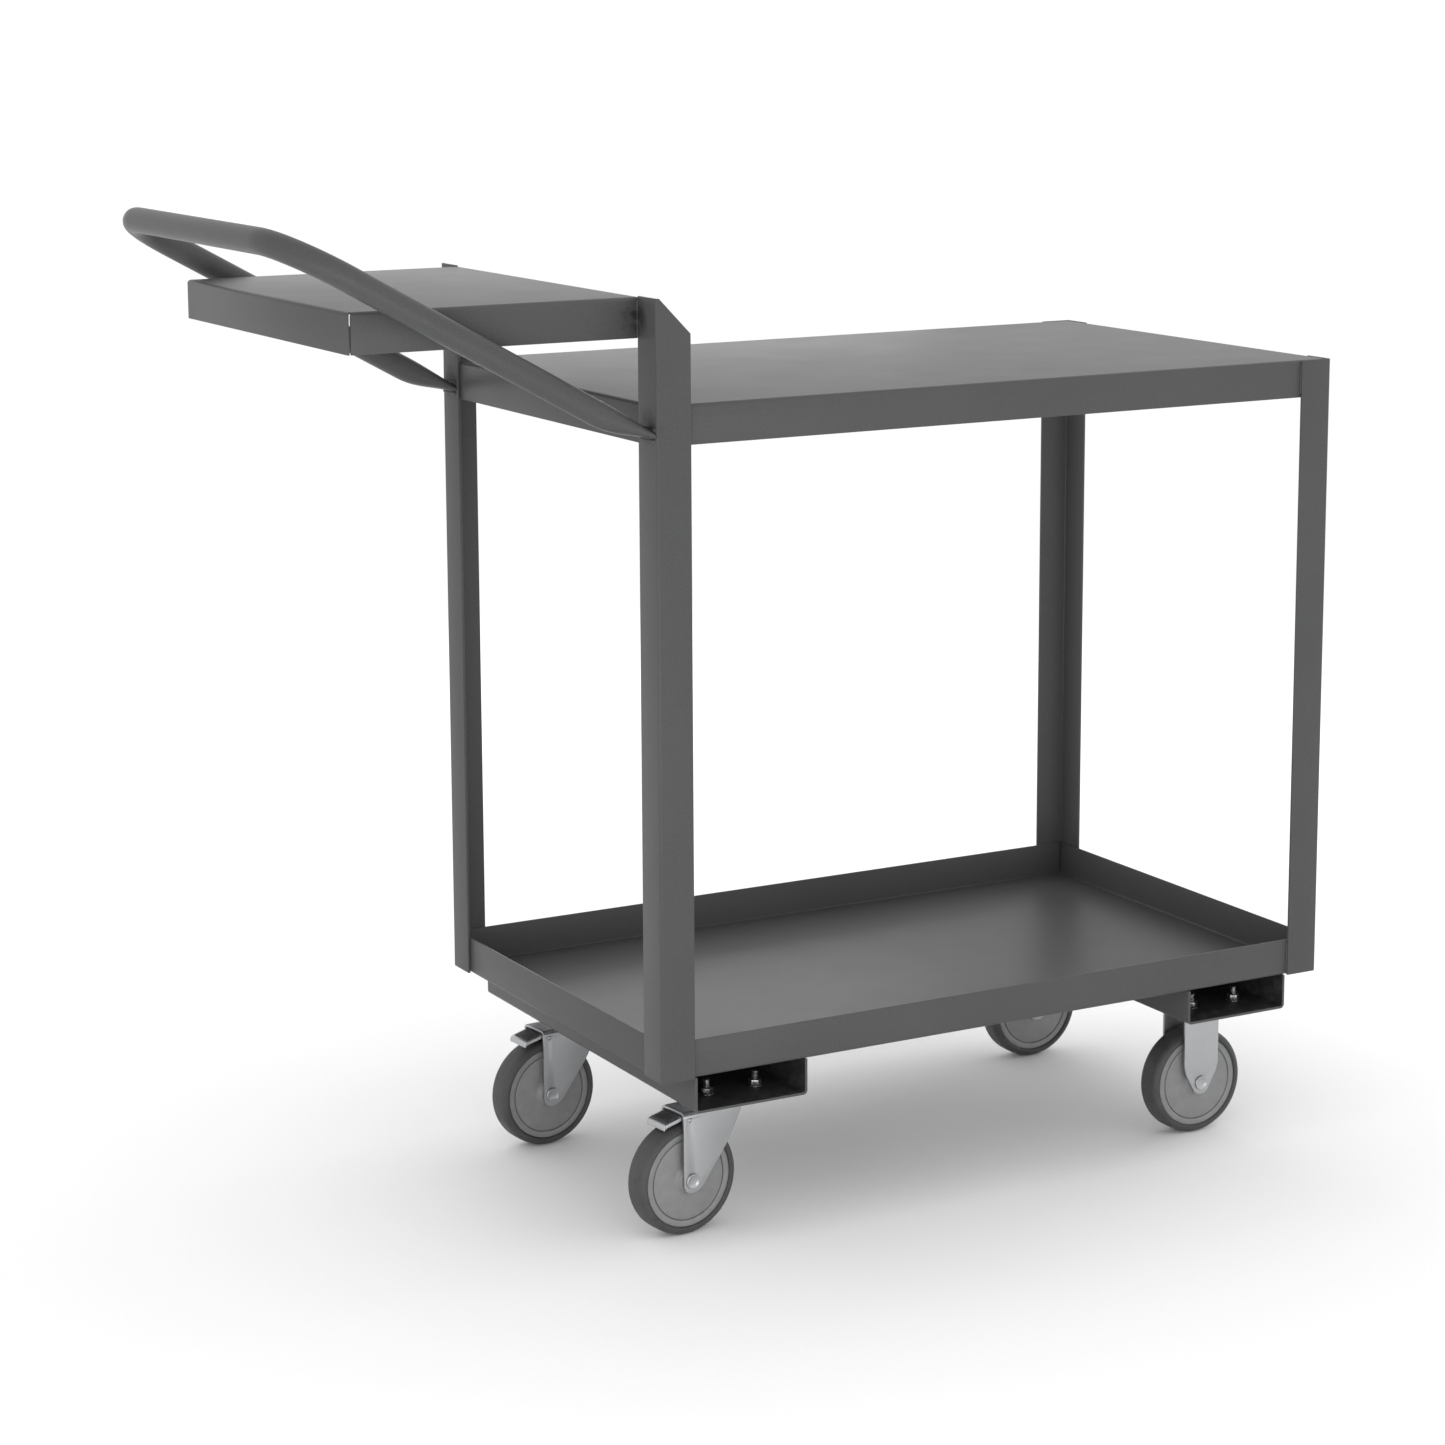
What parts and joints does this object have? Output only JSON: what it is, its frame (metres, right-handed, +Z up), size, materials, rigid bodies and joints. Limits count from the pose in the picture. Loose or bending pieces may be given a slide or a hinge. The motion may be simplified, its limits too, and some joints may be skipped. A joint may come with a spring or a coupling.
{
  "type": "rolling utility cart",
  "caption": "Grey steel utility cart: flat top shelf, lipped lower tray, raised writing shelf and tube push handle, on fixed and braked swivel casters.",
  "frame": {"origin": "middle of the overall box, on the floor under the cart", "axes": "+X along the cart towards its front, away from the handle; +Y across to the far long side; +Z up"},
  "size_m": [1.2604, 0.52, 1.1047],
  "materials": {
    "frame_paint": "fine-texture grey powder coat, satin",
    "zinc": "bright zinc plate on pressed steel",
    "bright_steel": "plain bright fasteners and turned pins",
    "tyre": "matt grey non-marking rubber",
    "wheel_core": "moulded grey nylon"
  },
  "bodies": {
    "cart": {"post_rear_near": "frame_paint", "post_rear_far": "frame_paint", "post_front_near": "frame_paint", "post_front_far": "frame_paint", "bottom_tray": "frame_paint", "top_shelf": "frame_paint", "writing_shelf": "frame_paint", "caster_channel_rear": "frame_paint", "caster_channel_front": "frame_paint", "push_handle": "frame_paint", "swivel_plate_near": "zinc", "ball_ring_near": "bright_steel", "kingpin_near": "zinc", "fixed_fork_near": "zinc", "swivel_plate_far": "zinc", "ball_ring_far": "bright_steel", "kingpin_far": "zinc", "fixed_fork_far": "zinc", "plate_bolt_rear_near_1": "bright_steel", "plate_bolt_rear_near_2": "bright_steel", "plate_bolt_rear_near_3": "bright_steel", "plate_bolt_rear_near_4": "bright_steel", "plate_bolt_rear_far_1": "bright_steel", "plate_bolt_rear_far_2": "bright_steel", "plate_bolt_rear_far_3": "bright_steel", "plate_bolt_rear_far_4": "bright_steel", "plate_bolt_front_near_1": "bright_steel", "plate_bolt_front_near_2": "bright_steel", "plate_bolt_front_near_3": "bright_steel", "plate_bolt_front_near_4": "bright_steel", "plate_bolt_front_far_1": "bright_steel", "plate_bolt_front_far_2": "bright_steel", "plate_bolt_front_far_3": "bright_steel", "plate_bolt_front_far_4": "bright_steel", "wheel_sleeve_front_near": "bright_steel", "axle_bolt_front_near": "zinc", "axle_nut_front_near": "zinc", "wheel_sleeve_front_far": "bright_steel", "axle_bolt_front_far": "zinc", "axle_nut_front_far": "zinc"},
    "swivel_near": {"swivel_fork_near": "zinc", "brake_pin_near": "bright_steel", "wheel_sleeve_rear_near": "bright_steel", "axle_bolt_rear_near": "zinc", "axle_nut_rear_near": "zinc"},
    "brake_near": {"brake_pedal_near": "zinc"},
    "wheel_rear_near": {"wheel_tyre_rear_near": "tyre", "wheel_core_rear_near": "wheel_core"},
    "wheel_front_near": {"wheel_tyre_front_near": "tyre", "wheel_core_front_near": "wheel_core"},
    "swivel_far": {"swivel_fork_far": "zinc", "brake_pin_far": "bright_steel", "wheel_sleeve_rear_far": "bright_steel", "axle_bolt_rear_far": "zinc", "axle_nut_rear_far": "zinc"},
    "brake_far": {"brake_pedal_far": "zinc"},
    "wheel_rear_far": {"wheel_tyre_rear_far": "tyre", "wheel_core_rear_far": "wheel_core"},
    "wheel_front_far": {"wheel_tyre_front_far": "tyre", "wheel_core_front_far": "wheel_core"}
  },
  "joints": [
    {"name": "swivel_near", "type": "hinge", "parent": "cart", "child": "swivel_near", "pos_m": [-0.11975, -0.17, 0.15], "axis": [0, 0, 1], "continuous": true},
    {"name": "wheel_rear_near", "type": "hinge", "parent": "swivel_near", "child": "wheel_rear_near", "pos_m": [-0.16152, -0.17439, 0.0625], "axis": [-0.1045, 0.9945, 0], "continuous": true},
    {"name": "brake_near", "type": "hinge", "parent": "swivel_near", "child": "brake_near", "pos_m": [-0.1645, -0.1747, 0.1315], "axis": [0.1045, -0.9945, 0], "range_deg": [0, 10]},
    {"name": "swivel_far", "type": "hinge", "parent": "cart", "child": "swivel_far", "pos_m": [-0.11975, 0.17, 0.15], "axis": [0, 0, 1], "continuous": true},
    {"name": "wheel_rear_far", "type": "hinge", "parent": "swivel_far", "child": "wheel_rear_far", "pos_m": [-0.16159, 0.16634, 0.0625], "axis": [-0.0872, 0.9962, 0], "continuous": true},
    {"name": "brake_far", "type": "hinge", "parent": "swivel_far", "child": "brake_far", "pos_m": [-0.16458, 0.16608, 0.1315], "axis": [0.0872, -0.9962, 0], "range_deg": [0, 10]},
    {"name": "wheel_front_near", "type": "hinge", "parent": "cart", "child": "wheel_front_near", "pos_m": [0.52025, -0.17, 0.0625], "axis": [0, 1, 0], "continuous": true},
    {"name": "wheel_front_far", "type": "hinge", "parent": "cart", "child": "wheel_front_far", "pos_m": [0.52025, 0.17, 0.0625], "axis": [0, 1, 0], "continuous": true}
  ]
}
